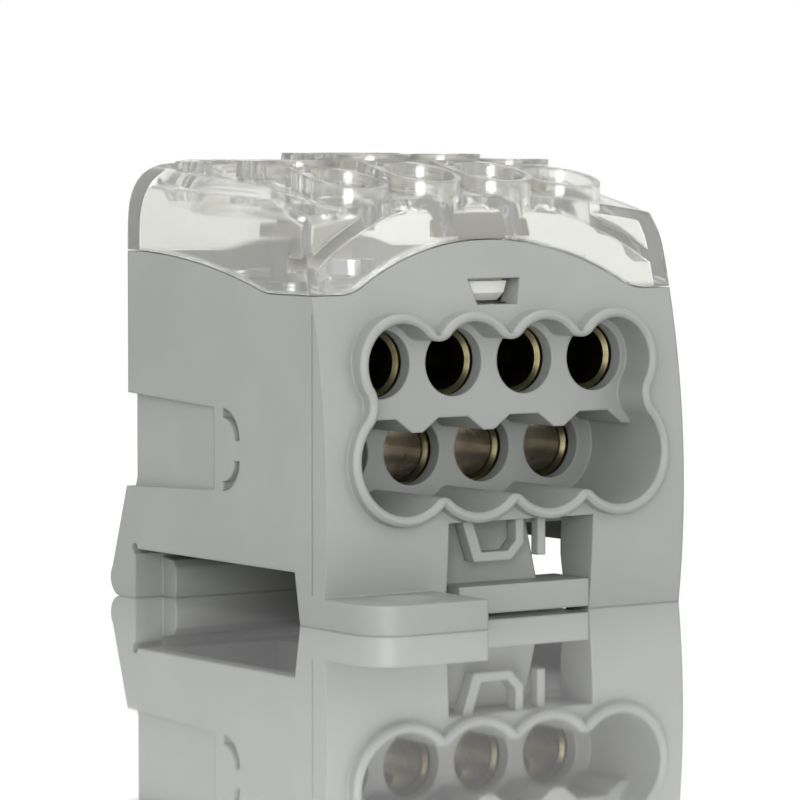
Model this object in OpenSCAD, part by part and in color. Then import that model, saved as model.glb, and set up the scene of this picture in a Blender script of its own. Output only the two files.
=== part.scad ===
// Single-pole power distribution block for a 35 mm rail: eight outgoing wires at the front in two
// stepped rows, three large incoming wires at the back, one stepped metal block inside.
// X runs along the rail, the front is at -Y, and Z is up from the mounting surface.

/* [Housing] */
// Width along the rail
body_w = 56.4; // [55.6:0.2:60]
// Depth of the side walls, front edge to rear edge
body_d = 43.6; // [43.2:0.2:46]
// Height of the side walls at the front corners
shoulder_z = 41.2; // [40.8:0.1:42]
// Thickness of the outer walls
wall = 2.2; // [1.8:0.1:2.6]
// How far the front face bows forward
bow = 3.2; // [2.8:0.1:3.6]
// Height at which the front face bows most
bow_z = 15; // [13:0.5:17]
// Rise of the front and rear wall arches above the shoulders
arch_rise = 6.6; // [5.6:0.2:7]
// Half width of the arches where they meet the shoulders
arch_half = 22; // [20:0.2:23]
// Radius of the hollow that joins each arch to the shoulders
arch_fillet = 8; // [6:0.5:10]
// Rise of the side walls at the rear edge above the shoulders
side_rise = 4.7; // [3:0.1:5]
// Length of that rise, forward from the rear edge
side_run = 33.2; // [30:0.2:34]
// Radius of the hollow that joins that rise to the shoulders
side_fillet = 14; // [10:1:18]
// How far the rear foot flares out behind the rear edge
foot_flare = 4.6; // [3:0.2:5]
// Height at which the rear foot starts to flare
foot_z = 16; // [13:0.5:18]
// Radius of the rear foot's lower edge
foot_r = 2.4; // [1.6:0.1:2.8]
// Depth and width of the parting groove along the front edge of each side wall
parting = 0.2; // [0.15:0.05:0.3]

/* [Side recess] */
// Height of the recess, from its lower edge to its upper edge
recess_h = 12.4; // [11:0.2:13]
// Height of the recess's lower edge
recess_z = 14.8; // [14:0.1:16]
// Length of the recess from the rear edge to where its floor meets the side wall
recess_l = 21; // [18:0.5:24]
// Depth of the recess at the rear edge
recess_depth = 1.4; // [1:0.1:1.6]
// Depth of the recess at its closed end
recess_end = 0.4; // [0.3:0.05:0.6]
// How much narrower the recess is at its closed end
recess_taper = 0.9; // [0.5:0.1:1.2]
// Outer radius of the curved slots at the closed end
key_slot_r = 4; // [3.4:0.1:4.4]
// Width of the curved slots
key_slot_w = 1.2; // [0.9:0.1:1.4]
// Depth of the curved slots
key_slot_depth = 1.1; // [0.8:0.1:1.4]

/* [Wire entries] */
// Distance between neighbouring outgoing wires
pitch = 11.2; // [11:0.05:11.5]
// Height of the upper row of wires
upper_z = 32.4; // [32:0.1:32.8]
// Height of the lower row of wires
lower_z = 20.4; // [20:0.1:20.8]
// Radius of the upper scallops of the entry
upper_lobe_r = 5.3; // [5.1:0.1:5.6]
// Radius of the lower scallops of the entry
lower_lobe_r = 6.8; // [6.6:0.1:7]
// Radius of the rounded tips between the upper scallops
upper_tip_r = 2.6; // [2:0.1:3]
// Radius of the rounded tips between the lower scallops
lower_tip_r = 1.8; // [1.5:0.1:2.2]
// Radius of the waist at each end of the entry
waist_r = 4; // [3:0.1:5]
// Width of the rim round the entry
rim_w = 1.3; // [0.9:0.1:1.4]
// Height of the rim above the front face where that bows most
rim_h = 1.8; // [1.2:0.1:2.2]
// How far the rim's crest leans back, in degrees from upright
crest_lean = 3.2; // [2.6:0.1:3.8]
// Chamfer of the rim's inner and outer edge
rim_chamfer = 0.45; // [0.3:0.05:0.5]
// Depth of the upper plastic wall behind the crest of the rim
upper_depth = 6.4; // [6:0.1:6.8]
// Depth of the lower plastic wall behind the crest of the rim
lower_depth = 15.7; // [15.4:0.1:16]
// Thickness of the plastic walls in front of the metal
entry_wall = 2; // [1.8:0.1:2.1]
// Radius of the outgoing wire holes in the plastic
entry_hole_r = 4.4; // [4.2:0.1:4.6]
// Thickness of the deck between the rows
deck_t = 2.1; // [1.8:0.1:2.4]
// Width of the flat ceiling over each lower wire
bay_flat = 4.6; // [4:0.1:5.4]
// Height of the teeth between neighbouring lower wires
tooth_h = 1.8; // [1.4:0.1:2.2]
// Width of the blunt end of each tooth
tooth_tip = 1.6; // [1.2:0.1:2.4]
// Height of the rear row of incoming wires
rear_z = 26.6; // [26.2:0.1:27]
// Radius of the incoming wire holes in the plastic
rear_hole_r = 5.6; // [5.2:0.1:6]
// Chamfer round the incoming wire holes in the plastic
rear_mouth = 0.9; // [0.6:0.1:1.2]

/* [Metal block] */
// Radius of the outgoing wire bores
out_bore_r = 3.7; // [3.4:0.05:3.8]
// Depth of the upper outgoing wire bores
upper_bore_l = 9; // [8.8:0.05:9.1]
// Depth of the lower outgoing wire bores
lower_bore_l = 11.4; // [11.2:0.1:11.8]
// Radius of the incoming wire bores
in_bore_r = 4.8; // [4.4:0.1:5]
// Depth of the incoming wire bores
in_bore_l = 13.4; // [13.2:0.1:13.8]
// How much less deep each bore of a row is than the one before it, so that no two floors share a plane
drill_step = 0.2; // [0.15:0.05:0.25]
// Metal left outside the end bores and under the upper bores
metal_rim = 1.1; // [0.9:0.1:1.3]
// Height of the top of the metal block
metal_top = 39.6; // [39.2:0.1:39.7]
// Depth of the chamfer at the mouth of each bore
mouth = 0.5; // [0.3:0.1:0.7]

/* [Clamp screws] */
// Radius of the outgoing clamp screws
out_screw_r = 2.95; // [2.5:0.05:3]
// Radius of the incoming clamp screws
in_screw_r = 3.95; // [3.5:0.05:4.2]
// Length of the front row of clamp screws
front_screw_l = 9; // [8:0.5:10]
// Length of the middle row of clamp screws
middle_screw_l = 18; // [16:0.5:20]
// Length of the rear row of clamp screws
rear_screw_l = 12; // [10:0.5:13]
// Distance of the front screws behind the front edge of the side walls
front_row = 8.8; // [8.6:0.1:9]
// Distance of the middle screws behind the front edge of the side walls
middle_row = 20.1; // [20:0.1:20.3]
// Distance of the rear screws in front of the rear edge of the side walls
rear_row = 11.3; // [11:0.1:11.4]
// Width of the slot in the outgoing screws
slot_w = 1.1; // [0.8:0.1:1.4]
// Hexagon key size of the incoming screws
key_size = 4; // [3:0.5:5]

/* [Cover] */
// Wall thickness of the clear cover
cover_wall = 1.8; // [1.5:0.1:2]
// Height of the crown of the cover
crown_z = 56.8; // [56.4:0.1:58]
// Radius that rounds the sides of the cover into its top
cover_side_r = 10; // [8:0.5:12]
// Radius that rounds the rear of the cover into its top
cover_rear_r = 9.2; // [8:0.2:11]
// Radius of the crown across the cover
crown_r = 170; // [140:5:200]
// Fall of the cover's top over the front screws, in degrees
front_slope = 14; // [12:1:16]
// Distance of the front slope's upper end behind the front edge of the side walls
slope_row = 17.5; // [17:0.1:18]
// Outer radius of the screwdriver collars
collar_r = 5.3; // [5.1:0.05:5.4]
// Radius of the screwdriver holes
driver_r = 4.4; // [4.1:0.05:4.5]
// Outer radius of the rear collars
rear_collar_r = 6.4; // [6.2:0.1:6.6]
// Radius of the rear screwdriver holes
rear_driver_r = 5.2; // [4.8:0.1:5.4]
// Height of the collars above the cover
collar_h = 1.9; // [1.2:0.1:2.4]
// Radius of the test probe holes beside the collars
probe_r = 1.1; // [0.8:0.1:1.3]
// Distance from each screwdriver hole to its test probe hole
probe_wall = 0.35; // [0.3:0.05:0.5]
// How far a collar's squared corner stands out past its round
lug_reach = 0.4; // [0.2:0.05:0.5]
// How far a squared corner may stand above the cover, past the height of the collars
lug_rise = 0.6; // [0.4:0.1:1]
// Height of the lower end of the tubes under the collars
tube_z = 51.2; // [50.4:0.1:52]
// Height of the arched rib inside the cover above the front arch
rib_rise = 5; // [4:0.1:5.6]
// Thickness of the arched rib
rib_t = 1.3; // [1:0.1:1.6]
// Half width of the gap in the arched rib
rib_gap = 9.5; // [8.5:0.1:11]
// Width of each snap hook at its top
tab_w = 7.4; // [6.6:0.1:8]
// Width of each snap hook at its bottom
tab_low_w = 5.5; // [5:0.1:6]
// Height of each snap hook
tab_h = 2.9; // [2.6:0.1:3.2]
// Depth of each snap hook's lower edge below the shoulders
tab_drop = 1.2; // [1:0.1:1.4]
// How far each snap hook reaches into the housing's wall
tab_reach = 1; // [0.8:0.1:1.1]
// Thickness of the pad behind each hook window
hook_pad = 1.2; // [1.1:0.1:1.3]
// Thickness of the tongues that carry the snap hooks
tongue_t = 1.2; // [1:0.1:1.3]
// Width of the block at the head of each tongue
head_w = 9.4; // [8.6:0.1:10]
// Height of the block at the head of each tongue
head_h = 4; // [3:0.1:4.4]
// How far the lower half of that block stands out at each side
head_wing = 2.8; // [2:0.1:3]

/* [Rail foot] */
// Length of the rail slot, front to back
rail_slot = 36.6; // [36:0.1:36.8]
// Distance from the front edge of the side walls to the rail slot
rail_front = 3.9; // [3.7:0.1:4.2]
// Height of the rail seat above the mounting surface
rail_seat = 6.6; // [6.4:0.1:7]
// How far the rail slot widens to its mouth at the front
slot_draft = 1.2; // [0.8:0.1:1.4]
// How far the latch and the rear lip reach under the rail
grip = 1.6; // [1.2:0.1:2]
// Distance of the rear lip's ends from the side walls' outer faces
lip_end = 4.4; // [3.6:0.1:6]
// Height of the hollow beside the keel, above the rail seat
hollow_h = 4.4; // [3.6:0.1:4.6]
// Width of the keel that the latch runs in
keel_w = 15.6; // [15:0.2:16.4]
// Width of the window over the latch
window_w = 22.9; // [22.4:0.1:23.4]
// Distance of the window's middle to the right of the housing's middle
window_x = 1.9; // [1.7:0.1:2.1]
// Clear space at the left of the latch bar
latch_left = 2.1; // [1.6:0.1:2.4]
// Height of the latch bar
bar_h = 3.6; // [3.2:0.1:3.8]
// Height of the latch bar above the mounting surface
bar_z = 0.4; // [0.3:0.1:0.6]
// Distance of the latch bar's front behind the foremost part of the front face
bar_inset = 0.7; // [0.6:0.1:1.2]
// Thickness of the latch's upright plate
upright_t = 1.8; // [1.5:0.1:2]
// How much further the upright plate reaches to the right at its foot
upright_flare = 1.9; // [1:0.1:2]
// Width of the plate that carries the latch in the keel
carrier_w = 12; // [11:0.2:12.4]
// Length of the plate that carries the latch, behind the rail's front edge
carrier_l = 9; // [7:0.5:11]
// Thickness of the plate that carries the latch
carrier_t = 1.8; // [1.4:0.1:2]
// How far the latch slides out to free the rail
latch_travel = 2.2; // [2:0.1:2.3]
// Wall thickness of the spring pocket in the window
pocket_wall = 1.2; // [1:0.1:1.4]
// Width of the spring pocket in the window
pocket_w = 9.6; // [9:0.1:10]
// Depth of the spring pocket below the window's roof
pocket_h = 5.2; // [4.8:0.1:5.6]

/* [Mounting ears] */
// Width of each ear along the rail
ear_w = 16.7; // [15.9:0.1:17]
// How far each ear reaches past the front edge of the side walls
ear_reach = 14.3; // [13.5:0.2:16]
// Thickness of each ear
ear_t = 3.8; // [3.4:0.1:4.2]
// Radius of the ear's outer corner
ear_corner_r = 5; // [4:0.5:6]
// Distance of the fixing hole from the ear's tip
ear_hole_in = 6; // [5.6:0.1:6.6]
// Distance of the fixing hole from the ear's outer side
ear_hole_side = 8.8; // [8:0.1:9.4]
// Depth of the countersink of each fixing hole
ear_sink_depth = 1.2; // [0.8:0.1:1.4]
// Radius of the fixing hole in each ear
ear_hole_r = 2.3; // [2:0.1:2.6]
// Radius of the countersink of each fixing hole
ear_sink_r = 4.5; // [4:0.1:5]

/* [Fits] */
// Gap between neighbouring pieces that do not slide
fit_gap = 0.15; // [0.1:0.05:0.2]
// Radial gap of the clamp screws in their holes
screw_gap = 0.05; // [0.03:0.01:0.1]
// Gap round the sliding rail latch
slide_gap = 0.2; // [0.15:0.05:0.3]

/* [Hidden] */
$fn = 48;
far = 200;
eps = 0.01;

// Round outlines that meet bite into each other by this much: they cross instead of just touching
bite = 0.04;

front_y = -body_d / 2;
rear_y = body_d / 2;
half_w = body_w / 2;
face_y = front_y - bow;
crest_y = face_y - rim_h;

// The bow is an arc that passes through the front edge of the shoulders and is furthest forward at bow_z
bow_r = (pow(shoulder_z - bow_z, 2) + bow * bow) / (2 * bow);
arch_r = (arch_half * arch_half + arch_rise * arch_rise) / (2 * arch_rise);
side_r = (side_run * side_run + side_rise * side_rise) / (2 * side_rise);

out_x = [for (i = [0:3]) (i - 1.5) * pitch];
rear_x = [for (i = [-1:1]) i * 1.5 * pitch];
front_row_y = front_y + front_row;
middle_row_y = front_y + middle_row;
rear_row_y = rear_y - rear_row;
slope_y = front_y + slope_row;

upper_wall_y = crest_y + upper_depth;
lower_wall_y = crest_y + lower_depth;
upper_metal_y = upper_wall_y + entry_wall + 2 * fit_gap;
lower_metal_y = lower_wall_y + entry_wall + 2 * fit_gap;
rear_metal_y = rear_y - wall - fit_gap;
step_z = upper_z - out_bore_r - metal_rim;
deck_z = step_z - fit_gap;
ceiling_z = deck_z - deck_t;
metal_bottom = lower_z - out_bore_r - metal_rim;
metal_half = 1.5 * pitch + out_bore_r + 2 * metal_rim;

// The waist's circle meets the end scallops of both rows
end_x = 1.5 * pitch;
row_gap = upper_z - lower_z;
upper_span = upper_lobe_r + waist_r - bite;
lower_span = lower_lobe_r + waist_r - bite;
waist_drop = (row_gap * row_gap + upper_span * upper_span - lower_span * lower_span) / (2 * row_gap);
waist_z = upper_z - waist_drop;
waist_x = end_x + sqrt(upper_span * upper_span - waist_drop * waist_drop);

rail_front_y = front_y + rail_front;
rail_rear_y = rail_front_y + rail_slot;
window_z = lower_z - lower_lobe_r - rim_w - eps;
window_left = window_x - window_w / 2;
window_right = window_x + window_w / 2;
upright_y = rail_front_y - slide_gap;
carrier_z = window_z - slide_gap - carrier_t;
carrier_end_y = rail_front_y + carrier_l;
pocket_back_y = upright_y - upright_t - latch_travel - slide_gap;
tab_z = shoulder_z - tab_drop;
tab_gap = 0.4;
pad_x = tab_w / 2 + tab_gap + wall;
hook_y = front_y + wall + hook_pad + fit_gap;
head_z = shoulder_z + arch_rise + fit_gap;
// The round shoulders and ends of the cover would rise this far above its crown, which cuts them off
crown_overlap = 0.5;

plastic = "#a5a7a3";
clear = [0.86, 0.9, 0.9, 0.45];
tinned = "#b9b2a0";
steel = "#8f9296";

// Extrudes an outline drawn in X and Z between two places along Y
module along_y(y0, y1) {
    translate([0, y1, 0]) rotate([90, 0, 0]) linear_extrude(y1 - y0) children();
}

// Extrudes an outline drawn in Y and Z between two places along X
module along_x(x0, x1) {
    translate([x0, 0, 0]) rotate([90, 0, 90]) linear_extrude(x1 - x0) children();
}

module box(x0, x1, y0, y1, z0, z1) {
    translate([x0, y0, z0]) cube([x1 - x0, y1 - y0, z1 - z0]);
}

// A cylinder along Y, for wire holes
module bore_y(x, z, r, y0, y1) {
    translate([x, y1, z]) rotate([90, 0, 0]) cylinder(r = r, h = y1 - y0);
}

// A chamfered mouth that opens towards y0
module mouth_y(x, z, r, y0, y1, wider) {
    translate([x, y1, z]) rotate([90, 0, 0]) cylinder(r1 = r, r2 = r + wider, h = y1 - y0);
}

// Hill of a large circle that rises out of the shoulders, joined to them by a hollow at one or both sides
module hill(rise, r, fillet, sides, lift) {
    z = rise - r;
    fillet_z = fillet - bite;
    fillet_x = sqrt(pow(r + fillet - bite, 2) - pow(fillet_z - z, 2));
    translate([-far / 2, lift - far]) square([far, far]);
    intersection() {
        translate([0, z]) circle(r = r + lift, $fn = 128);
        translate([-far / 2, -wall]) square([far, far]);
    }
    for (side = sides) scale([side, 1]) difference() {
        polygon([[0, z], [fillet_x, z], [fillet_x, fillet_z]]);
        translate([fillet_x, fillet_z]) circle(r = fillet - lift);
    }
}

// Outline of the wall arch, up to the given allowance above the seam
module arch_outline(lift) {
    translate([0, shoulder_z]) hill(arch_rise, arch_r, arch_fillet, [-1, 1], lift);
}

// Outline of the side walls' top edge, low at the front and high at the rear
module side_outline(lift) {
    translate([rear_y, shoulder_z]) hill(side_rise, side_r, side_fillet, [-1], lift);
}

// Everything below the seam between housing and cover
module below_seam(lift) {
    along_x(-far / 2, far / 2) side_outline(lift);
    along_y(-far / 2, front_y + wall + hook_pad + lift) arch_outline(lift);
    along_y(rear_y - wall - hook_pad - lift, far / 2) arch_outline(lift);
}

// Side view of everything behind the bowed front face, or behind its crest
module behind_bow(y, r, inset) {
    translate([y + r, bow_z]) circle(r = r - inset, $fn = 256);
}

// Side view of the housing: bowed front, upright back, flared rear foot
module housing_profile() {
    top = shoulder_z + arch_rise + 1;
    intersection() {
        behind_bow(face_y, bow_r, 0);
        translate([-far + rear_y, 0]) square([far, top]);
    }
    polygon([
        [rear_y - wall, 0], [rear_y + foot_flare - foot_r, 0], [rear_y + foot_flare, foot_r],
        [rear_y, foot_z], [rear_y - wall, foot_z]
    ]);
    translate([rear_y + foot_flare - foot_r, foot_r]) circle(r = foot_r);
}

// Height of a rounded tip between two scallops above their centres
function tip_height(lobe, tip) = sqrt(pow(lobe + tip - bite, 2) - pow(pitch / 2, 2));

// Circles of the tips between the scallops of one row, on the side that up points to
module tips(z, lobe, tip, up, grow) {
    for (x = [-pitch, 0, pitch])
        translate([x, z + up * tip_height(lobe, tip)]) circle(r = tip - grow);
}

// Scalloped form of the wire entry, grown by grow at its foot and by top at its top, drawn along Z:
// rounded tips between the scallops and a waist at each end
module entry_form(h, grow, top) {
    upper_reach = tip_height(upper_lobe_r, upper_tip_r) * upper_lobe_r / (upper_lobe_r + upper_tip_r);
    lower_reach = tip_height(lower_lobe_r, lower_tip_r) * lower_lobe_r / (lower_lobe_r + lower_tip_r);
    upper_t = (upper_lobe_r + max(grow, top)) / upper_span;
    lower_t = (lower_lobe_r + max(grow, top)) / lower_span;
    difference() {
        union() {
            for (x = out_x) {
                translate([x, upper_z, 0]) cylinder(r1 = upper_lobe_r + grow, r2 = upper_lobe_r + top, h = h);
                translate([x, lower_z, 0]) cylinder(r1 = lower_lobe_r + grow, r2 = lower_lobe_r + top, h = h);
            }
            box(-end_x, end_x, lower_z - lower_reach, upper_z + upper_reach, 0, h);
            for (side = [-1, 1]) scale([side, 1, 1]) linear_extrude(h) polygon([
                [0, lower_z], [end_x, lower_z],
                [end_x + lower_t * (waist_x - end_x), lower_z + lower_t * (waist_z - lower_z)],
                [end_x + upper_t * (waist_x - end_x), upper_z + upper_t * (waist_z - upper_z)],
                [end_x, upper_z], [0, upper_z]
            ]);
        }
        for (x = [-pitch, 0, pitch]) {
            translate([x, upper_z + tip_height(upper_lobe_r, upper_tip_r), 0])
                cylinder(r1 = upper_tip_r - grow, r2 = upper_tip_r - top, h = h);
            translate([x, lower_z - tip_height(lower_lobe_r, lower_tip_r), 0])
                cylinder(r1 = lower_tip_r - grow, r2 = lower_tip_r - top, h = h);
        }
        for (side = [-1, 1]) translate([side * waist_x, waist_z, 0])
            cylinder(r1 = waist_r - grow, r2 = waist_r - top, h = h);
    }
}

// Stands something drawn along Z up in front of the crest of the rim: Z = 0 lies at the leaning crest
module on_crest() {
    translate([0, crest_y, bow_z]) rotate([90 - crest_lean, 0, 0]) translate([0, -bow_z, 0]) children();
}

// The deep lower part of the entry: scalloped floor, and a ceiling with a blunt tooth between the wires
module lower_entry_outline() {
    lower_reach = tip_height(lower_lobe_r, lower_tip_r) * lower_lobe_r / (lower_lobe_r + lower_tip_r);
    slant = (pitch - tooth_tip) / 2;
    difference() {
        union() {
            intersection() {
                union() for (x = out_x) translate([x, lower_z]) circle(r = lower_lobe_r);
                translate([-far / 2, ceiling_z - tooth_h - far]) square([far, far]);
            }
            for (x = out_x) translate([x, 0]) polygon([
                [-slant, lower_z], [slant, lower_z], [slant, ceiling_z - tooth_h], [bay_flat / 2, ceiling_z],
                [-bay_flat / 2, ceiling_z], [-slant, ceiling_z - tooth_h]
            ]);
            translate([-end_x, lower_z - lower_reach]) square([2 * end_x, lower_reach + 1]);
        }
        tips(lower_z, lower_lobe_r, lower_tip_r, -1, 0);
    }
}

// Rim that stands proud of the bowed face all round the wire entry, with chamfered edges
module entry_rim() {
    foot = rim_h + bow + wall;
    on_crest() {
        translate([0, 0, -foot]) entry_form(foot - rim_chamfer, rim_w, rim_w);
        translate([0, 0, -rim_chamfer]) entry_form(rim_chamfer, rim_w, rim_w - rim_chamfer);
    }
}

// The shallow part of the entry, which opens with a chamfer at the rim's crest
module upper_entry() {
    depth = upper_wall_y - crest_y + rim_h;
    start = 0.2;
    translate([0, upper_wall_y, 0]) rotate([90, 0, 0]) entry_form(depth, 0, 0);
    on_crest() translate([0, 0, -rim_chamfer - start])
        entry_form(rim_chamfer + start + eps, -start, rim_chamfer + eps);
}

// Room for the stepped metal block and the screws above it
module block_well() {
    side = metal_half + fit_gap;
    top = metal_top + fit_gap;
    box(-side, side, upper_wall_y + entry_wall, rear_y - wall, deck_z, top);
    box(-side, side, lower_wall_y + entry_wall, rear_y - wall, metal_bottom, top);
    difference() {
        box(-half_w + wall, half_w - wall, front_y + wall, rear_y - wall, upper_z + upper_lobe_r + 1, far);
        for (turn = [0, 180]) rotate([0, 0, turn])
            box(-pad_x, pad_x, front_y + wall - 1, front_y + wall + hook_pad, top, far);
    }
}

// Holes for the wires through the plastic walls
module wire_holes() {
    for (x = out_x) {
        bore_y(x, upper_z, entry_hole_r, upper_wall_y - eps, upper_wall_y + entry_wall + 1);
        bore_y(x, lower_z, entry_hole_r, lower_wall_y - eps, lower_wall_y + entry_wall + 1);
    }
    for (x = rear_x) {
        bore_y(x, rear_z, rear_hole_r, rear_y - wall - 1, far / 2);
        mirror([0, 1, 0]) mouth_y(x, rear_z, rear_hole_r, -rear_y - eps, -rear_y + rear_mouth, rear_mouth);
    }
}

// Slot across the underside for the rail, with a lip at the back that hooks under its edge
module rail_slot_cut() {
    lip_x = half_w - lip_end;
    lip_top = rail_seat - grip;
    lip_y = rail_rear_y - grip;
    end_y = rail_rear_y + grip;
    relief_r = 0.7;
    difference() {
        along_x(-far / 2, far / 2) polygon([
            [rail_front_y, rail_seat], [rail_front_y - slot_draft, 0], [rail_front_y - slot_draft, -1],
            [end_y, -1], [end_y, rail_seat]
        ]);
        along_x(-lip_x, lip_x) polygon([
            [end_y + 1, -2], [lip_y + 0.6, -2], [lip_y, 1.4], [lip_y, lip_top - 1], [lip_y + 0.8, lip_top],
            [end_y + 1, lip_top + 0.4]
        ]);
    }
    for (side = [-1, 1]) scale([side, 1, 1])
        along_x(lip_x - eps, half_w + 1) translate([end_y, rail_seat]) circle(r = relief_r);
}

// Hollows of the underside at both sides of the keel
module under_hollows() {
    y1 = rail_rear_y - grip;
    for (side = [-1, 1]) scale([side, 1, 1])
        box(keel_w / 2, half_w - wall, rail_front_y + eps, y1, rail_seat - 1, rail_seat + hollow_h);
}

// Window in the front face over the latch, and the slot that the latch's plate slides in
module latch_room() {
    slot = carrier_w / 2 + slide_gap;
    box(window_left, window_right, crest_y - 5, rail_front_y + eps, -1, window_z);
    box(-slot, slot, face_y, carrier_end_y + slide_gap, carrier_z - slide_gap, window_z);
}

// Spring pocket and guide rib that hang from the window's roof in front of the latch
module spring_pocket() {
    left = window_left + 2.6;
    right = left + pocket_w;
    lean = 1.8;
    bottom = window_z - pocket_h;
    corner = 2;
    rib_x = right + 2.7;
    front = face_y + bar_inset;
    along_y(front, pocket_back_y) difference() {
        polygon([
            [left, window_z + eps], [left + lean, bottom], [right - corner, bottom], [right, bottom + corner],
            [right, window_z + eps]
        ]);
        polygon([
            [left + pocket_wall, window_z + 1], [left + lean + pocket_wall, bottom + pocket_wall],
            [right - corner - 0.5, bottom + pocket_wall], [right - pocket_wall, bottom + corner + 0.5],
            [right - pocket_wall, window_z + 1]
        ]);
    }
    box(rib_x, rib_x + pocket_wall, front + 0.6, pocket_back_y, bottom + 0.3, window_z + eps);
}

// Tapered recess at the rear of a side wall, where a neighbouring block's key slides in
module side_recess() {
    front = rear_y - recess_l;
    fade = atan((recess_depth - recess_end) / recess_l);
    low = recess_z;
    high = recess_z + recess_h;
    translate([-half_w, 0, 0]) difference() {
        rotate([90, 0, 90]) linear_extrude(2 * recess_depth, center = true) polygon([
            [rear_y + 5, low], [rear_y + 5, high], [rear_y, high], [front, high - recess_taper],
            [front, low + recess_taper], [rear_y, low]
        ]);
        translate([recess_end, front, 0]) rotate([0, 0, -fade]) box(0, far, -far, far, 0, far);
    }
}

// Curved slots at the closed end of the side recess
module recess_slots() {
    y = rear_y - recess_l - 2;
    inset = key_slot_r + recess_taper;
    for (up = [-1, 1]) translate([-half_w, y, recess_z + (up > 0 ? recess_h - inset : inset)])
        scale([1, 1, up]) rotate([90, 0, 90]) linear_extrude(2 * key_slot_depth, center = true)
        intersection() {
            difference() {
                circle(r = key_slot_r);
                circle(r = key_slot_r - key_slot_w);
            }
            translate([-far, 0]) square(far);
        }
}

// Groove that marks the parting line between a side wall and the front panel
module parting_groove() {
    translate([-half_w, front_y, 0])
        box(-1, parting, -parting / 2, parting / 2, ear_t + parting, shoulder_z - wall);
}

// Fixing ear at the front left corner
module ear() {
    tip_y = front_y - ear_reach;
    hole_y = tip_y + ear_hole_in;
    hole_x = -half_w + ear_hole_side;
    difference() {
        union() {
            box(-half_w, -half_w + ear_w, tip_y + ear_corner_r, front_y + wall, 0, ear_t);
            box(-half_w + ear_corner_r, -half_w + ear_w, tip_y, front_y, 0, ear_t);
            translate([-half_w + ear_corner_r, tip_y + ear_corner_r, 0])
                cylinder(r = ear_corner_r, h = ear_t);
        }
        translate([hole_x, hole_y, -1]) cylinder(r = ear_hole_r, h = ear_t + 2);
        translate([hole_x, hole_y, ear_t - ear_sink_depth])
            cylinder(r1 = ear_hole_r, r2 = ear_sink_r, h = ear_sink_depth + eps);
    }
}

// Front view of a snap hook or its window: wide at the top, narrow at the bottom
module hook_outline(grow) {
    polygon([
        [-tab_low_w / 2 - grow, tab_z - grow], [tab_low_w / 2 + grow, tab_z - grow],
        [tab_w / 2 + grow, tab_z + tab_h], [-tab_w / 2 - grow, tab_z + tab_h]
    ]);
}

// Window for a cover hook, and the shallow groove that leads the hook down to it
module hook_window() {
    groove_x = tab_w / 2 + tab_gap;
    along_y(front_y - 1, hook_y + 1) hook_outline(tab_gap);
    box(-groove_x, groove_x, hook_y - tab_reach - 2 * fit_gap, hook_y + 1, tab_z + tab_h - tab_gap, far);
}

module base_housing() {
    color(plastic) {
        difference() {
            union() {
                intersection() {
                    along_x(-half_w, half_w) housing_profile();
                    below_seam(0);
                }
                entry_rim();
            }
            block_well();
            upper_entry();
            along_y(crest_y - 5, lower_wall_y) lower_entry_outline();
            wire_holes();
            rail_slot_cut();
            latch_room();
            under_hollows();
            hook_window();
            rotate([0, 0, 180]) hook_window();
            for (side = [-1, 1]) scale([side, 1, 1]) {
                side_recess();
                recess_slots();
                parting_groove();
            }
        }
        spring_pocket();
        ear();
        rotate([0, 0, 180]) ear();
    }
}

// Stepped bar that joins all wires: front bores at two heights, large bores at the back
module terminal_block() {
    color(tinned) difference() {
        union() {
            box(-metal_half, metal_half, upper_metal_y, rear_metal_y, step_z, metal_top);
            box(-metal_half, metal_half, lower_metal_y, rear_metal_y, metal_bottom + fit_gap, step_z + eps);
        }
        for (i = [0:3]) {
            metal_bore(out_x[i], upper_z, out_bore_r, upper_metal_y, upper_bore_l - i * drill_step);
            metal_bore(out_x[i], lower_z, out_bore_r, lower_metal_y, lower_bore_l - i * drill_step);
            screw_hole(out_x[i], front_row_y, upper_z, out_screw_r);
            screw_hole(out_x[i], middle_row_y, lower_z, out_screw_r);
        }
        for (i = [0:2]) {
            mirror([0, 1, 0])
                metal_bore(rear_x[i], rear_z, in_bore_r, -rear_metal_y, in_bore_l - i * drill_step);
            screw_hole(rear_x[i], rear_row_y, rear_z, in_screw_r);
        }
    }
}

// Wire bore from a front face, with a chamfered mouth
module metal_bore(x, z, r, y, depth) {
    bore_y(x, z, r, y - 1, y + depth);
    mouth_y(x, z, r, y - eps, y + mouth, mouth);
}

module screw_hole(x, y, z, r) {
    translate([x, y, z]) cylinder(r = r + screw_gap, h = far);
}

// Headless clamp screw with a cone point, standing just above the wire bore
module slotted_screw(x, y, bottom, length) {
    point = 0.8;
    slot_depth = 1.6;
    color(steel) translate([x, y, bottom]) difference() {
        union() {
            cylinder(r1 = out_screw_r - point, r2 = out_screw_r, h = point);
            translate([0, 0, point]) cylinder(r = out_screw_r, h = length - point);
        }
        box(-slot_w / 2, slot_w / 2, -out_screw_r - 1, out_screw_r + 1, length - slot_depth, length + 1);
    }
}

module hexagon_screw(x, y, bottom, length) {
    point = 1;
    key_depth = 4;
    color(steel) translate([x, y, bottom]) difference() {
        union() {
            cylinder(r1 = in_screw_r - point, r2 = in_screw_r, h = point);
            translate([0, 0, point]) cylinder(r = in_screw_r, h = length - point);
        }
        translate([0, 0, length - key_depth])
            cylinder(r = key_size / sqrt(3), h = key_depth + 1, $fn = 6);
    }
}

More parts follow.
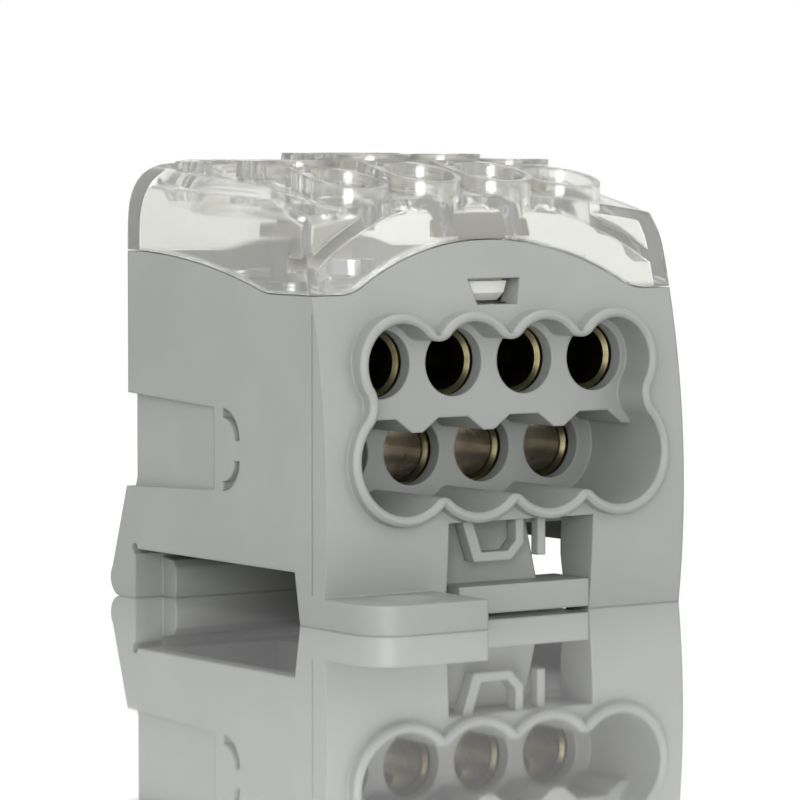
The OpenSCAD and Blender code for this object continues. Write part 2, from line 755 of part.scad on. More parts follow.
// Front view of the cover: upright sides, large round shoulders, shallow crown
module cover_front(inset) {
    r = cover_side_r - inset;
    side = half_w - inset;
    top = crown_z - inset;
    shoulder = top - r - cover_side_drop() + crown_overlap;
    square_z = shoulder_z - wall;
    intersection() {
        union() {
            translate([-side, square_z]) square([2 * side, shoulder - square_z]);
            for (s = [-1, 1]) translate([s * (side - r), shoulder]) circle(r = r, $fn = 96);
            translate([-side + r, square_z]) square([2 * (side - r), top + 1 - square_z]);
        }
        translate([0, top - crown_r]) circle(r = crown_r, $fn = 256);
    }
}

// How far the crown has fallen where the round shoulders begin
function cover_side_drop() = crown_r - sqrt(pow(crown_r, 2) - pow(half_w - cover_side_r, 2));

// Side view of the cover: the front goes on with the bow of the housing, the rear rolls over into the top
module cover_side(inset) {
    r = cover_rear_r - inset;
    top = crown_z - inset + crown_overlap;
    y1 = rear_y - inset;
    z0 = shoulder_z - wall;
    intersection() {
        union() {
            translate([y1 - r - far, z0]) square([far, top - z0]);
            translate([y1 - far, z0]) square([far, top - r - z0]);
            translate([y1 - r, top - r]) circle(r = r, $fn = 96);
        }
        behind_bow(face_y, bow_r, inset);
    }
}

module cover_form(inset) {
    intersection() {
        along_y(-far / 2, far / 2) cover_front(inset);
        along_x(-far / 2, far / 2) cover_side(inset);
        translate([0, slope_y, crown_z]) rotate([90 + front_slope, 0, 0]) translate([0, -crown_r, 0])
            cylinder(r = crown_r - inset, h = far, center = true, $fn = 256);
    }
}

// Height of the cover's outer face, which falls to the sides and over the front screws
function cover_top(x, y) = crown_z - (crown_r - sqrt(crown_r * crown_r - x * x))
    - max(0, slope_y - y) * tan(front_slope);

// Collar round a screwdriver hole, squared at its rear left for a test probe, with a tube below it
module collar(x, y, r, slope) {
    corner = r + lug_reach;
    lug_z = crown_z - cover_wall - 3;
    intersection() {
        union() {
            translate([x, y, tube_z]) cylinder(r = r, h = far);
            intersection() {
                box(x - corner, x, y, y + corner, lug_z, far);
                cover_form(-collar_h - lug_rise);
            }
        }
        translate([x, y, cover_top(x, y) + collar_h]) rotate([slope, 0, 0])
            box(-far, far, -far, far, -far, 0);
    }
}

module collar_holes(x, y, hole_r) {
    probe = (hole_r + probe_wall + probe_r) / sqrt(2);
    translate([x, y, shoulder_z]) cylinder(r = hole_r, h = far);
    translate([x - probe, y + probe, shoulder_z]) cylinder(r = probe_r, h = far);
}

// Chamfer at the top of a level collar
module collar_chamfer(x, y, hole_r) {
    chamfer = 0.6;
    translate([x, y, cover_top(x, y) + collar_h - chamfer])
        cylinder(r1 = hole_r, r2 = hole_r + chamfer + eps, h = chamfer + eps);
}

// Arched rib inside the cover, above the arch of the housing's wall
module cover_rib() {
    rise = arch_r + rib_rise;
    intersection() {
        along_y(-far / 2, front_y + wall + 4) difference() {
            translate([0, shoulder_z + arch_rise - arch_r]) circle(r = rise + rib_t, $fn = 128);
            translate([0, shoulder_z + arch_rise - arch_r]) circle(r = rise, $fn = 128);
            translate([-rib_gap, 0]) square([2 * rib_gap, far]);
            translate([-far, -far + shoulder_z + 1]) square([2 * far, far]);
        }
        cover_form(cover_wall / 2);
    }
}

// Tongue that hangs inside the wall and ends in a hook at its window
module hook() {
    along_y(hook_y, hook_y + tongue_t) {
        hook_outline(0);
        translate([-tab_w / 2, tab_z + tab_h - eps]) square([tab_w, head_z + 1 - tab_z - tab_h]);
    }
    intersection() {
        along_y(hook_y - tab_reach, hook_y + eps) hook_outline(0);
        along_x(-tab_w, tab_w) polygon([
            [hook_y + 1, tab_z - 1], [hook_y + 1, tab_z + tab_h - tab_gap],
            [hook_y - tab_reach - 1, tab_z + tab_h - tab_gap], [hook_y - tab_reach - 1, tab_z + 2]
        ]);
    }
}

// Block that joins a tongue to the cover's wall, wider at its foot
module hook_head() {
    wing_x = head_w / 2 + head_wing;
    box(-head_w / 2, head_w / 2, front_y, hook_y + tongue_t, head_z, head_z + head_h);
    box(-wing_x, wing_x, front_y, hook_y + tongue_t, head_z, head_z + head_h / 2);
}

module clear_cover() {
    color(clear) difference() {
        union() {
            difference() {
                cover_form(0);
                cover_form(cover_wall);
                below_seam(fit_gap);
            }
            for (x = out_x) {
                collar(x, front_row_y, collar_r, front_slope);
                collar(x, middle_row_y, collar_r, 0);
            }
            for (x = rear_x) collar(x, rear_row_y, rear_collar_r, 0);
            cover_rib();
            for (turn = [0, 180]) rotate([0, 0, turn]) hook();
            intersection() {
                for (turn = [0, 180]) rotate([0, 0, turn]) hook_head();
                cover_form(cover_wall / 2);
            }
        }
        for (x = out_x) {
            collar_holes(x, front_row_y, driver_r);
            collar_holes(x, middle_row_y, driver_r);
            collar_chamfer(x, middle_row_y, driver_r);
        }
        for (x = rear_x) {
            collar_holes(x, rear_row_y, rear_driver_r);
            collar_chamfer(x, rear_row_y, rear_driver_r);
        }
    }
}

// Sprung latch that slides out at the front to free the rail: a bar with a nose under the rail, a tapered
// upright plate, and a plate that runs in a slot of the keel
module rail_latch() {
    left = window_left + latch_left;
    right = window_right - slide_gap;
    bar_front = face_y + bar_inset;
    carrier_top = carrier_z + carrier_t;
    nose_y = rail_front_y + grip;
    top = bar_z + bar_h;
    color(plastic) {
        along_x(left, right) polygon([
            [bar_front, bar_z], [nose_y - 0.8, bar_z], [nose_y, bar_z + 1.2], [nose_y, top - 0.6],
            [nose_y - 0.6, top], [bar_front, top]
        ]);
        along_y(upright_y - upright_t, upright_y) polygon([
            [left, top - eps], [carrier_w / 2 + upright_flare, top - eps], [carrier_w / 2, carrier_top],
            [-carrier_w / 2, carrier_top]
        ]);
        box(-carrier_w / 2, carrier_w / 2, upright_y - upright_t, carrier_end_y, carrier_z, carrier_top);
    }
}

base_housing();
clear_cover();
terminal_block();
rail_latch();
for (i = [0:3]) {
    slotted_screw(out_x[i], front_row_y, upper_z + out_bore_r + fit_gap, front_screw_l);
    slotted_screw(out_x[i], middle_row_y, lower_z + out_bore_r + fit_gap, middle_screw_l);
}
for (i = [0:2])
    hexagon_screw(rear_x[i], rear_row_y, rear_z + in_bore_r + fit_gap, rear_screw_l);
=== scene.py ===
# %% [markdown]
# # A power distribution block, dressed for its picture
# The block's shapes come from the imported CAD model, which is loaded as a fixed frame. This script adds what
# a solid model does not hold: moulded plastic, clear polycarbonate, tinned brass and zinc-plated screws,
# the rounded rims of the moulding, a pale studio and a camera at the photograph's place.

import math

import bmesh
import bpy
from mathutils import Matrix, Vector


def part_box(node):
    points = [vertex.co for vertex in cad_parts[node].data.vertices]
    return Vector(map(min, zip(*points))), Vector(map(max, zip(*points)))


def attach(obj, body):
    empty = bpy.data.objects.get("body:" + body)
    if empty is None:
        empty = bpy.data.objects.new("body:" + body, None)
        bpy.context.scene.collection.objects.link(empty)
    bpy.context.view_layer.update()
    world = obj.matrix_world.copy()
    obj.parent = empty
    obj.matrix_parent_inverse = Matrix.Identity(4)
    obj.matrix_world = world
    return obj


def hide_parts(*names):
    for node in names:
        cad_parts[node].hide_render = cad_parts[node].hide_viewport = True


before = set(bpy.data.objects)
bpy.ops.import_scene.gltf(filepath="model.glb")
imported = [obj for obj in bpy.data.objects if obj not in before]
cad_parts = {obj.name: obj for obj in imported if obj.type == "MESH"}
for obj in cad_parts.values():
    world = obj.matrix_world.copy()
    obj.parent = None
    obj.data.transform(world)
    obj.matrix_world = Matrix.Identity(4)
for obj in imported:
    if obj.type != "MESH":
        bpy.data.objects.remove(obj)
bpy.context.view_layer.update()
MM = 0.001

# %% [markdown]
# ## Camera
# The photograph was taken from the front left, a little above the middle of the block, with a long lens.
# The angles and the distance were found by lining up corners of the block with their places in the picture.
# A small lens shift keeps the block where the photograph has it, without turning the camera.

# %% Camera
AZIMUTH, ELEVATION = -34.91, 3.42
FOCAL_PX, SCALE_PX_MM = 4453.0, 7.601
CENTRE_U, CENTRE_V = 399.6, 387.0
TARGET = Vector((0.0, -0.4, 28.0)) * MM
IMAGE_PX = 800.0
SENSOR_MM = 36.0


def look_direction(azimuth, elevation):
    a, e = math.radians(azimuth), math.radians(elevation)
    return Vector((math.sin(a) * math.cos(e), -math.cos(a) * math.cos(e), math.sin(e)))


camera_data = bpy.data.cameras.new("photo_camera")
camera_data.sensor_width = SENSOR_MM
camera_data.lens = SENSOR_MM * FOCAL_PX / IMAGE_PX
camera_data.shift_x = (IMAGE_PX / 2 - CENTRE_U) / IMAGE_PX
camera_data.shift_y = (CENTRE_V - IMAGE_PX / 2) / IMAGE_PX
camera_data.clip_start = 0.01
camera = bpy.data.objects.new("photo_camera", camera_data)
bpy.context.collection.objects.link(camera)
back = look_direction(AZIMUTH, ELEVATION)
camera.location = TARGET + back * (FOCAL_PX / SCALE_PX_MM * MM)
camera.rotation_euler = (-back).to_track_quat("-Z", "Y").to_euler()
bpy.context.scene.camera = camera
print("camera distance mm:", round(FOCAL_PX / SCALE_PX_MM, 1), "lens mm:", round(camera_data.lens, 1))

# %% [markdown]
# ## Materials
# Every finish is built from nodes on Object coordinates, so that it stays in place when a piece moves.
# Colours are written as sRGB hex values and turned to linear light by one function, and one small
# function adds a node with its settings and its links.


# %% Helpers for materials
def linear(hex_colour):
    """An sRGB hex colour as linear red, green, blue and alpha."""
    values = [int(hex_colour[i : i + 2], 16) / 255 for i in (1, 3, 5)]
    return tuple(v / 12.92 if v <= 0.04045 else ((v + 0.055) / 1.055) ** 2.4 for v in values) + (1.0,)


def add(material, kind, settings=None, **inputs):
    """One node with its settings; an input is a value, or the output socket of another node."""
    node = material.node_tree.nodes.new(kind)
    for name, value in (settings or {}).items():
        setattr(node, name, value)
    for name, value in inputs.items():
        socket = node.inputs[int(name[1:])] if name[1:].isdigit() else node.inputs[name.replace("_", " ")]
        if isinstance(value, bpy.types.NodeSocket):
            material.node_tree.links.new(value, socket)
        else:
            socket.default_value = value
    return node


def new_material(name):
    material = bpy.data.materials.new(name)
    material.use_nodes = True
    material.node_tree.nodes.clear()
    return material


def surface(material, shader):
    out = material.node_tree.nodes.new("ShaderNodeOutputMaterial")
    material.node_tree.links.new(shader.outputs[0], out.inputs["Surface"])


# %% [markdown]
# ### Grey polyamide, injection moulded and spark-eroded matt
# The housing and the latch are moulded in a light neutral grey. A spark-eroded mould leaves a very fine
# even grain, so highlights are broad and soft, and the colour varies a little where the melt flowed.
# A moulded part has no knife edges: a bevel of the normals rounds each edge by nearly half a millimetre.

# %% Grey polyamide
GRAIN_MM = 0.35  # the real grit is about 0.05 mm; drawn coarser so that it shows at this distance
FLOW_MM = 18.0
MOULD_EDGE_MM = 0.45


def grey_polyamide():
    finish = new_material("grey_polyamide")
    where = add(finish, "ShaderNodeTexCoord").outputs["Object"]
    flow = add(finish, "ShaderNodeTexNoise", {"noise_dimensions": "3D"}, Vector=where, Scale=1000 / FLOW_MM,
               Detail=3.0)
    tint = add(finish, "ShaderNodeValToRGB", None, Fac=flow.outputs["Fac"])
    tint.color_ramp.elements[0].position, tint.color_ramp.elements[0].color = 0.35, linear("#818380")
    tint.color_ramp.elements[1].position, tint.color_ramp.elements[1].color = 0.65, linear("#868885")
    grit = add(finish, "ShaderNodeTexNoise", {"noise_dimensions": "3D"}, Vector=where, Scale=1000 / GRAIN_MM,
               Detail=2.0)
    gloss = add(finish, "ShaderNodeMapRange", None, Value=grit.outputs["Fac"], To_Min=0.42, To_Max=0.52)
    edge = add(finish, "ShaderNodeBevel", {"samples": 6}, Radius=MOULD_EDGE_MM * MM)
    bump = add(finish, "ShaderNodeBump", None, Strength=0.08, Distance=0.02 * MM, Height=grit.outputs["Fac"],
               Normal=edge.outputs["Normal"])
    shader = add(finish, "ShaderNodeBsdfPrincipled", None, Base_Color=tint.outputs["Color"],
                 Roughness=gloss.outputs["Result"], IOR=1.53, Normal=bump.outputs["Normal"])
    surface(finish, shader)
    return finish


# %% [markdown]
# ### Clear polycarbonate, moulded in a polished tool
# The cover is clear with a faint olive tint that gathers in its edges. It refracts like polycarbonate, with an
# IOR of 1.585, and its faces carry the slightest waviness of a moulded sheet. A thick moulding is never quite
# water-clear: about a tenth of the light is scattered, which keeps the edges grey where glass would show black.

# %% Clear polycarbonate
POLYCARBONATE_IOR = 1.585
WAVE_MM = 9.0
CLEAR_EDGE_MM = 0.7
CLARITY = 0.9


def clear_polycarbonate():
    finish = new_material("clear_polycarbonate")
    where = add(finish, "ShaderNodeTexCoord").outputs["Object"]
    wave = add(finish, "ShaderNodeTexNoise", {"noise_dimensions": "3D"}, Vector=where, Scale=1000 / WAVE_MM,
               Detail=1.0)
    edge = add(finish, "ShaderNodeBevel", {"samples": 4}, Radius=CLEAR_EDGE_MM * MM)
    bump = add(finish, "ShaderNodeBump", None, Strength=0.06, Distance=0.1 * MM, Height=wave.outputs["Fac"],
               Normal=edge.outputs["Normal"])
    haze = add(finish, "ShaderNodeMapRange", None, Value=wave.outputs["Fac"], To_Min=0.01, To_Max=0.04)
    shader = add(finish, "ShaderNodeBsdfPrincipled", None, Base_Color=linear("#f1f1ed"), IOR=POLYCARBONATE_IOR,
                 Roughness=haze.outputs["Result"], Transmission_Weight=CLARITY, Normal=bump.outputs["Normal"])
    surface(finish, shader)
    return finish


# %% [markdown]
# ### Frosted polycarbonate
# The arched ribs, the hooks and the blocks at their heads are moulded against the unpolished core of the tool.
# Their matt faces scatter the light, so they show as olive-grey forms inside the clear cover.

# %% Frosted polycarbonate
FROST_MM = 0.4  # real frosting is about 0.05 mm; drawn coarser so that it shows
FROST_CLARITY = 0.3
# painted light: below this height the thin hooks are painted pale, for the light that reaches them through their
# windows
PAINTED_LIGHT_BELOW_Z, PAINTED_LIGHT_FADE_MM = 43.5, 2.0  # the thin hooks in their windows look paler than the ribs and blocks


def frosted_polycarbonate():
    finish = new_material("frosted_polycarbonate")
    where = add(finish, "ShaderNodeTexCoord").outputs["Object"]
    frost = add(finish, "ShaderNodeTexNoise", {"noise_dimensions": "3D"}, Vector=where, Scale=1000 / FROST_MM,
                Detail=3.0)
    height = add(finish, "ShaderNodeSeparateXYZ", None, Vector=where).outputs["Z"]
    above_painted_light = add(finish, "ShaderNodeMapRange", None, Value=height, From_Min=PAINTED_LIGHT_BELOW_Z * MM,
                 From_Max=(PAINTED_LIGHT_BELOW_Z + PAINTED_LIGHT_FADE_MM) * MM)
    # painted light: pale on the hooks below the given height, olive grey on the ribs and blocks above it
    tint = add(finish, "ShaderNodeValToRGB", None, Fac=above_painted_light.outputs["Result"])
    tint.color_ramp.elements[0].position, tint.color_ramp.elements[0].color = 0.0, linear("#f0efe9")
    tint.color_ramp.elements[1].position, tint.color_ramp.elements[1].color = 1.0, linear("#827f6c")
    rough = add(finish, "ShaderNodeMapRange", None, Value=frost.outputs["Fac"], To_Min=0.4, To_Max=0.6)
    bump = add(finish, "ShaderNodeBump", None, Strength=0.15, Distance=0.03 * MM, Height=frost.outputs["Fac"])
    shader = add(finish, "ShaderNodeBsdfPrincipled", None, Base_Color=tint.outputs["Color"],
                 Roughness=rough.outputs["Result"], IOR=POLYCARBONATE_IOR, Transmission_Weight=FROST_CLARITY,
                 Normal=bump.outputs["Normal"])
    surface(finish, shader)
    return finish


# %% [markdown]
# ### Tinned brass, drilled
# The block is brass bar with a thin coat of tin, a warm pale grey. Drilling leaves fine rings round the inside
# of each bore. The chamfer at the mouth of a bore looks like bare brass, an olive gold ring. Behind the
# mouths of the upper bores the metal is painted nearly black: painted shade for deep bores that light hardly
# reaches.

# %% Tinned brass
WAVE_TURN = 2 * math.pi / 20  # at scale 1, Blender's wave texture repeats after this many metres
RING_MM = 0.8  # a drill's feed marks are about 0.2 mm apart; drawn coarser so that they show
UPPER_FACE_Y, LOWER_FACE_Y, REAR_FACE_Y = -18.1, -8.8, 19.45
STEP_Z, BORES_TOP_Z = 27.6, 37.0
MOUTH_MM = 0.9  # how deep the chamfer at the mouth of a bore reaches
# painted shade: the depths behind the mouth where the upper bores start and finish darkening
SHADE_FROM_MM, SHADE_TO_MM = 1.2, 4.5
TIN_CLOUD_MM = 4.0


def tinned_brass():
    finish = new_material("tinned_brass")

    def sums(operation, a, b):
        return add(finish, "ShaderNodeMath", {"operation": operation}, _0=a, _1=b).outputs[0]

    where = add(finish, "ShaderNodeTexCoord").outputs["Object"]
    place = add(finish, "ShaderNodeSeparateXYZ", None, Vector=where)
    y, z = place.outputs["Y"], place.outputs["Z"]
    upper = sums("GREATER_THAN", z, STEP_Z * MM)
    front_face = add(finish, "ShaderNodeMapRange", None, Value=upper, To_Min=LOWER_FACE_Y * MM,
                     To_Max=UPPER_FACE_Y * MM)
    behind_front = sums("SUBTRACT", y, front_face.outputs["Result"])
    depth = sums("MINIMUM", behind_front, sums("SUBTRACT", REAR_FACE_Y * MM, y))
    # painted shade: the upper bores darken with depth, where light hardly reaches
    shade_by_depth = add(finish, "ShaderNodeMapRange", {"interpolation_type": "SMOOTHSTEP"}, Value=depth,
                From_Min=SHADE_FROM_MM * MM, From_Max=SHADE_TO_MM * MM)
    below_top = sums("LESS_THAN", z, BORES_TOP_Z * MM)
    mouth = sums("MULTIPLY", sums("MAXIMUM", upper, sums("LESS_THAN", depth, MOUTH_MM * MM)), below_top)
    painted_shade = sums("MULTIPLY", shade_by_depth.outputs["Result"], sums("MULTIPLY", upper, below_top))
    rings = add(finish, "ShaderNodeTexWave", {"wave_type": "BANDS", "bands_direction": "Y"}, Vector=where,
                Scale=1000 * WAVE_TURN / RING_MM, Distortion=0.6, Detail=2.0)
    cloud = add(finish, "ShaderNodeTexNoise", {"noise_dimensions": "3D"}, Vector=where,
                Scale=1000 / TIN_CLOUD_MM, Detail=4.0)
    tint = add(finish, "ShaderNodeValToRGB", None, Fac=cloud.outputs["Fac"])
    tint.color_ramp.elements[0].position, tint.color_ramp.elements[0].color = 0.3, linear("#b4aea2")
    tint.color_ramp.elements[1].position, tint.color_ramp.elements[1].color = 0.7, linear("#d6d1c7")
    gold = add(finish, "ShaderNodeMix", {"data_type": "RGBA"}, Factor=mouth, _6=tint.outputs["Color"],
               _7=linear("#6e694e"))
    # painted shade: nearly black deep inside the upper bores
    shaded_colour = add(finish, "ShaderNodeMix", {"data_type": "RGBA"}, Factor=painted_shade, _6=gold.outputs[2],
               _7=linear("#2b2822"))
    rough = add(finish, "ShaderNodeMapRange", None, Value=cloud.outputs["Fac"], To_Min=0.22, To_Max=0.36)
    bump = add(finish, "ShaderNodeBump", None, Strength=0.2, Distance=0.03 * MM, Height=rings.outputs["Fac"])
    shader = add(finish, "ShaderNodeBsdfPrincipled", None, Base_Color=shaded_colour.outputs[2], Metallic=1.0,
                 Roughness=rough.outputs["Result"], Normal=bump.outputs["Normal"])
    surface(finish, shader)
    return finish


# %% [markdown]
# ### Zinc-plated steel
# The clamp screws are turned steel with a bright zinc coat, a touch blue, with turning lines on the shank.

# %% Zinc-plated steel
TURN_MM = 0.5  # real turning lines are about 0.15 mm apart; drawn coarser so that they show
ZINC_CLOUD_MM = 3.0


def zinc_steel():
    finish = new_material("zinc_steel")
    where = add(finish, "ShaderNodeTexCoord").outputs["Object"]
    lines = add(finish, "ShaderNodeTexWave", {"wave_type": "BANDS", "bands_direction": "Z"}, Vector=where,
                Scale=1000 * WAVE_TURN / TURN_MM, Distortion=0.3, Detail=1.0)
    cloud = add(finish, "ShaderNodeTexNoise", {"noise_dimensions": "3D"}, Vector=where,
                Scale=1000 / ZINC_CLOUD_MM, Detail=4.0)
    tint = add(finish, "ShaderNodeValToRGB", None, Fac=cloud.outputs["Fac"])
    tint.color_ramp.elements[0].position, tint.color_ramp.elements[0].color = 0.3, linear("#9a9ea3")
    tint.color_ramp.elements[1].position, tint.color_ramp.elements[1].color = 0.7, linear("#c3c7cb")
    rough = add(finish, "ShaderNodeMapRange", None, Value=cloud.outputs["Fac"], To_Min=0.25, To_Max=0.4)
    bump = add(finish, "ShaderNodeBump", None, Strength=0.25, Distance=0.05 * MM, Height=lines.outputs["Fac"])
    shader = add(finish, "ShaderNodeBsdfPrincipled", None, Base_Color=tint.outputs["Color"], Metallic=1.0,
                 Roughness=rough.outputs["Result"], Normal=bump.outputs["Normal"])
    surface(finish, shader)
    return finish


# %% [markdown]
# ### Who wears what
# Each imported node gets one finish. Whatever is not named here is a clamp screw, and is zinc-plated.

# %% Dress the CAD nodes
FINISHES = {
    "grey_polyamide": grey_polyamide(),
    "clear_polycarbonate": clear_polycarbonate(),
    "tinned_brass": tinned_brass(),
    "zinc_steel": zinc_steel(),
}
FINISH_OF = {
    "base_housing": "grey_polyamide",
    "rail_latch": "grey_polyamide",
    "clear_cover": "clear_polycarbonate",
    "terminal_block": "tinned_brass",
}
for name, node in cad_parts.items():
    finish = FINISHES[FINISH_OF.get(name, "zinc_steel")]
    node.data.materials.clear()
    node.data.materials.append(finish)
    print(name, "->", finish.name)

# %% [markdown]
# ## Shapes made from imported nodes
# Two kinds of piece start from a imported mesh: the cover and the screws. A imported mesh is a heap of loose
# triangles and must stay as it is, so a copy is taken and its corners are joined before anything is moved.

# %% Helpers for shapes
JOIN_MM = 0.001


def joined_copy(node_name):
    """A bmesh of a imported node, with the corners of its loose triangles joined."""
    shape = bmesh.new()
    shape.from_mesh(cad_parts[node_name].data)
    bmesh.ops.remove_doubles(shape, verts=shape.verts, dist=JOIN_MM * MM)
    return shape


def smooth_all_but_creases(shape, crease_degrees):
    for face in shape.faces:
        face.smooth = True
    for edge in shape.edges:
        edge.smooth = edge.calc_face_angle(0.0) < math.radians(crease_degrees)


def as_object(shape, name, *finishes):
    """Turn a finished bmesh into an object at the origin, with its finishes in order."""
    data = bpy.data.meshes.new(name)
    shape.to_mesh(data)
    shape.free()
    for finish in finishes:
        data.materials.append(finish)
    piece = bpy.data.objects.new(name, data)
    bpy.context.collection.objects.link(piece)
    return piece


# %% [markdown]
# ## The cover as it comes from the mould
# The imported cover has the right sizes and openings. The real one is a little fuller at its rear corners, where
# a mould maker blends the rear roll and the side shoulders into each other, and it is clear only where the
# mould is polished. Modelling it anew would lose the collars' exact places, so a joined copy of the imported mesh
# is taken: points on the rounds move out to a squarer curve, the inner ends of the arched ribs lie a little
# flatter, and the unpolished faces get the frosted finish.

# %% Places on the cover, in millimetres
ROLL_Y, ROLL_Z, ROLL_R = 12.6, 48.1, 9.2
SHOULDER_X, SHOULDER_Z, SHOULDER_R = 18.2, 46.33, 10.0
SHOULDER_FROM_Y, SHOULDER_FULL_Y = -10.0, 20.0  # the shoulders grow fuller from here to there
COVER_WALL = 1.8
FULLNESS = 4.0  # the power of the squarer curve; 2 is a circle
RIB_CENTRE_Z, RIB_R, RIB_T, RIB_GAP, RIB_END_Y = 7.83, 44.97, 1.3, 9.5, -15.6
RIB_LIFT_IN, RIB_LIFT_OUT, RIB_SPAN = -0.9, 1.7, 15.5
HOOK_Y, HOOK_REACH, HOOK_HALF_W, HOOK_Z = 17.05, 19.25, 3.7, 40.0
HEAD_HALF_W, HEAD_LOW_Z, HEAD_TOP_Z = 7.5, 47.95, 51.95
NEAR = 0.06
COVER_CREASE_DEGREES = 22


def push_out(a, b, radius):
    """The shift that makes a quarter circle, or its inner wall, squarer; no shift for any other point."""
    reach = math.hypot(a, b)
    if a <= 0 or b <= 0 or min(abs(reach - radius), abs(reach - radius + COVER_WALL)) > NEAR:
        return 0.0, 0.0
    more = ((a / reach) ** FULLNESS + (b / reach) ** FULLNESS) ** (-1 / FULLNESS) - 1
    return a * more, b * more


def in_rib_arch(x, z):
    reach = math.hypot(x, z - RIB_CENTRE_Z)
    return abs(x) > RIB_GAP - NEAR and RIB_R - NEAR < reach < RIB_R + RIB_T + NEAR


# %% Which faces are frosted
def frosted(face):
    """Whether a face belongs to an arched rib, a hook, its tongue or the block at its head."""
    corners = [vertex.co / MM for vertex in face.verts]
    rib = all(in_rib_arch(c.x, c.z) and c.y < RIB_END_Y + NEAR for c in corners)
    tongue = all(abs(c.x) < HOOK_HALF_W + NEAR and HOOK_Y - NEAR < abs(c.y) < HOOK_REACH + NEAR
                 and HOOK_Z - NEAR < c.z < HEAD_TOP_Z for c in corners)
    head = all(abs(c.x) < HEAD_HALF_W + NEAR and abs(c.y) > HOOK_Y - NEAR
               and HEAD_LOW_Z - NEAR < c.z < HEAD_TOP_Z + NEAR for c in corners)
    return rib or tongue or head


cover_shape = joined_copy("clear_cover")
smooth_all_but_creases(cover_shape, COVER_CREASE_DEGREES)
for face in cover_shape.faces:
    face.material_index = 1 if frosted(face) else 0
print("frosted faces:", sum(face.material_index for face in cover_shape.faces))

# %% Moulded cover
fuller = 0
for vertex in cover_shape.verts:
    x, y, z = vertex.co / MM
    roll_y, roll_z = push_out(y - ROLL_Y, z - ROLL_Z, ROLL_R)
    side_x, side_z = push_out(abs(x) - SHOULDER_X, z - SHOULDER_Z, SHOULDER_R)
    rearward = min(max((y - SHOULDER_FROM_Y) / (SHOULDER_FULL_Y - SHOULDER_FROM_Y), 0.0), 1.0)
    if in_rib_arch(x, z) and abs(x) < RIB_GAP + RIB_SPAN and abs(y - RIB_END_Y) < NEAR:
        outward = (abs(x) - RIB_GAP) / RIB_SPAN
        vertex.co.z += (RIB_LIFT_IN + (RIB_LIFT_OUT - RIB_LIFT_IN) * outward) * MM
    shift = Vector((math.copysign(side_x, x) * rearward, roll_y, roll_z + side_z * rearward))
    vertex.co += shift * MM
    fuller += shift.length > 0
cover_finishes = FINISHES["clear_polycarbonate"], frosted_polycarbonate()
moulded_cover = as_object(cover_shape, "moulded_cover", *cover_finishes)
moulded_cover.modifiers.new("even_normals", "WEIGHTED_NORMAL").keep_sharp = True
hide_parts("clear_cover")
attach(moulded_cover, "cover")
print("moulded cover: points moved out", fuller)

# %% [markdown]
# ## Threads of the clamp screws
# The imported screws are plain cylinders, which is right for collision. A real clamp screw has a thread, and it
# shows above the metal block once the cover is off. A texture could fake it, but not its outline. So a joined
# copy of each imported screw is turned down to the core of its thread, and a three-cornered ridge is spun along
# a helix round it, inside the imported radius. A plain collar is left at the top, where the slot or the key
# goes in.

# %% Sizes of the threads, in millimetres
STEPS_PER_TURN = 24
COLLAR_MM = {"incoming": 1.0, "upper": 1.9, "lower": 1.9}
PITCH_MM = {"incoming": 1.25, "upper": 1.0, "lower": 1.0}
THREAD_DEPTH = 0.5  # this and the next two are shares of the pitch
RIDGE_HALF_WIDTH = 0.42
RUN_OUT = 0.7
ROOT_MM = 0.05  # the ridge starts a little inside the core
NECK_MM = 0.3  # the short cone between the collar and the core
LEVEL_MM = 0.01
CUT_MM = 0.0001
THREAD_CREASE_DEGREES = 30


# %% Turn a screw down to its core
def turn_down(shape, axis, core, collar_end):
    """Pull the shank in to the core of the thread, below the collar and its short neck."""
    for cut in (collar_end, collar_end - NECK_MM):
        bmesh.ops.bisect_plane(shape, geom=shape.verts[:] + shape.edges[:] + shape.faces[:], dist=CUT_MM * MM,
                               plane_co=(0, 0, cut * MM), plane_no=(0, 0, 1))
    for vertex in shape.verts:
        arm = Vector((vertex.co.x / MM - axis.x, vertex.co.y / MM - axis.y, 0))
        if arm.length > core and vertex.co.z / MM < collar_end - NECK_MM + LEVEL_MM:
            vertex.co += arm * (core / arm.length - 1) * MM


# %% Wind the ridge of a thread
def wind_ridge(shape, axis, core, radius, pitch, start, end):
    """Spin a three-cornered ridge round the core, from one height to another, and give its number of turns."""
    half = RIDGE_HALF_WIDTH * pitch
    corners = ((core - ROOT_MM, start - half), (radius, start), (core - ROOT_MM, start + half))
    ridge = [shape.verts.new((axis + Vector((reach, 0, height))) * MM) for reach, height in corners]
    profile = shape.faces.new(ridge)
    turns = (end - start) / pitch
    steps = round(turns * STEPS_PER_TURN)
    bmesh.ops.spin(shape, geom=[profile] + profile.edges[:] + ridge, cent=axis * MM, axis=(0, 0, 1),
                   dvec=(0, 0, (end - start) / steps * MM), angle=turns * 2 * math.pi, steps=steps)
    return turns


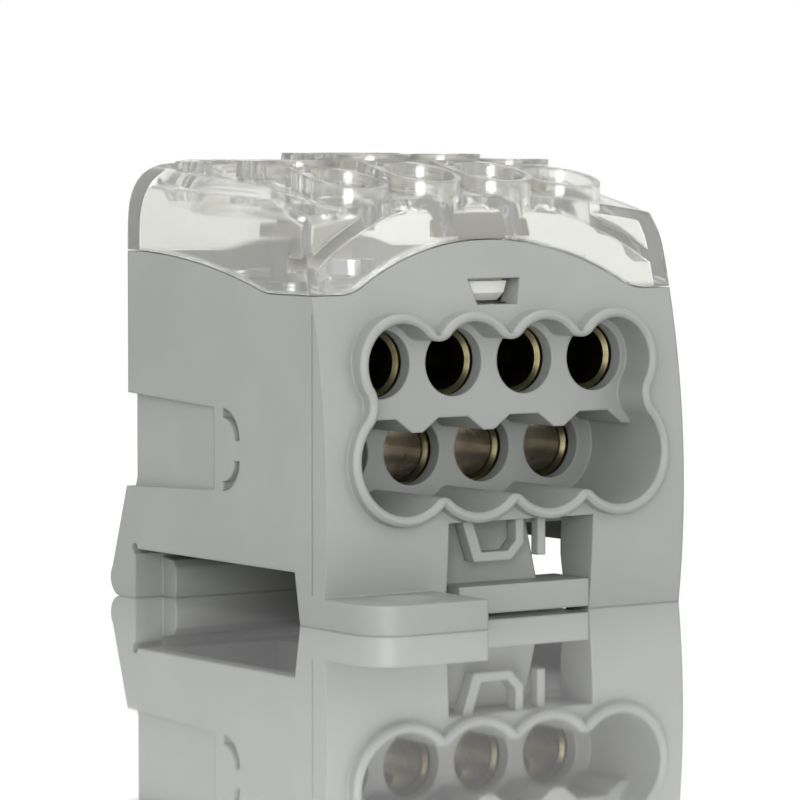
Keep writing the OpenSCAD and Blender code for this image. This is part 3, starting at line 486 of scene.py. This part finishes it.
# %% Threaded screws
def threaded_screw(name):
    kind = name.split("_")[0]
    pitch = PITCH_MM[kind]
    low, high = (Vector(corner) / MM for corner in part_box(name))
    axis = Vector(((low.x + high.x) / 2, (low.y + high.y) / 2, 0))
    radius = (high.x - low.x) / 2
    core = radius - THREAD_DEPTH * pitch
    collar_end = high.z - COLLAR_MM[kind]
    shape = joined_copy(name)
    turn_down(shape, axis, core, collar_end)
    turns = wind_ridge(shape, axis, core, radius, pitch, low.z + RUN_OUT * pitch, collar_end - RUN_OUT * pitch)
    bmesh.ops.recalc_face_normals(shape, faces=shape.faces)
    shape.normal_update()
    smooth_all_but_creases(shape, THREAD_CREASE_DEGREES)
    screw = as_object(shape, "threaded_" + name, FINISHES["zinc_steel"])
    plain_normals = screw.data.attributes.get("custom_normal")
    if plain_normals:  # they belong to the plain cylinder, so the new shape must not keep them
        screw.data.attributes.remove(plain_normals)
    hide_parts(name)
    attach(screw, name)
    print("threaded", name, "turns:", round(turns, 1))


for name in list(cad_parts):
    if "screw" in name:
        threaded_screw(name)

# %% [markdown]
# ## Studio
# A seamless pale floor with a polished sheet, which mirrors the foot of the block, and large soft lights: one
# over the front left, one over the right, one above, and a low one at the front that reaches into the wire
# entries. A pale world fills the shadows.

# %% Floor
FLOOR_HALF_M = 3.0
FLOOR_CLOUD_MM = 125.0


def pale_floor():
    finish = new_material("pale_floor")
    where = add(finish, "ShaderNodeTexCoord").outputs["Object"]
    cloud = add(finish, "ShaderNodeTexNoise", {"noise_dimensions": "3D"}, Vector=where,
                Scale=1000 / FLOOR_CLOUD_MM, Detail=2.0)
    gloss = add(finish, "ShaderNodeMapRange", None, Value=cloud.outputs["Fac"], To_Min=0.02, To_Max=0.04)
    shader = add(finish, "ShaderNodeBsdfPrincipled", None, Base_Color=linear("#fcfcfc"), Metallic=0.85, IOR=1.5,
                 Roughness=gloss.outputs["Result"])
    surface(finish, shader)
    return finish


floor_shape = bmesh.new()
bmesh.ops.create_grid(floor_shape, x_segments=1, y_segments=1, size=FLOOR_HALF_M)
floor = as_object(floor_shape, "pale_floor", pale_floor())
print("floor half width in metres:", FLOOR_HALF_M)


# %% Lights
def soft_light(name, place_mm, size_mm, watts):
    data = bpy.data.lights.new(name, "AREA")
    data.shape = "RECTANGLE"
    data.size, data.size_y = size_mm[0] * MM, size_mm[1] * MM
    data.energy = watts
    light = bpy.data.objects.new(name, data)
    light.location = Vector(place_mm) * MM
    light.rotation_euler = (TARGET - light.location).to_track_quat("-Z", "Y").to_euler()
    bpy.context.collection.objects.link(light)
    print(name, watts, "W")


soft_light("front_left_light", (-650, -500, 420), (500, 500), 1.4)
soft_light("front_right_light", (450, -700, 380), (400, 500), 0.8)
soft_light("entry_fill", (-330, -480, 110), (220, 160), 1.4)
soft_light("top_light", (0, 60, 800), (700, 700), 2.5)

# %% World
WORLD_STRENGTH = 1.0

world = bpy.data.worlds.new("pale_studio")
bpy.context.scene.world = world
world.use_nodes = True
background = world.node_tree.nodes["Background"]
background.inputs["Color"].default_value = linear("#ffffff")
background.inputs["Strength"].default_value = WORLD_STRENGTH
bpy.context.scene.view_settings.view_transform = "Standard"
print("world strength:", WORLD_STRENGTH)
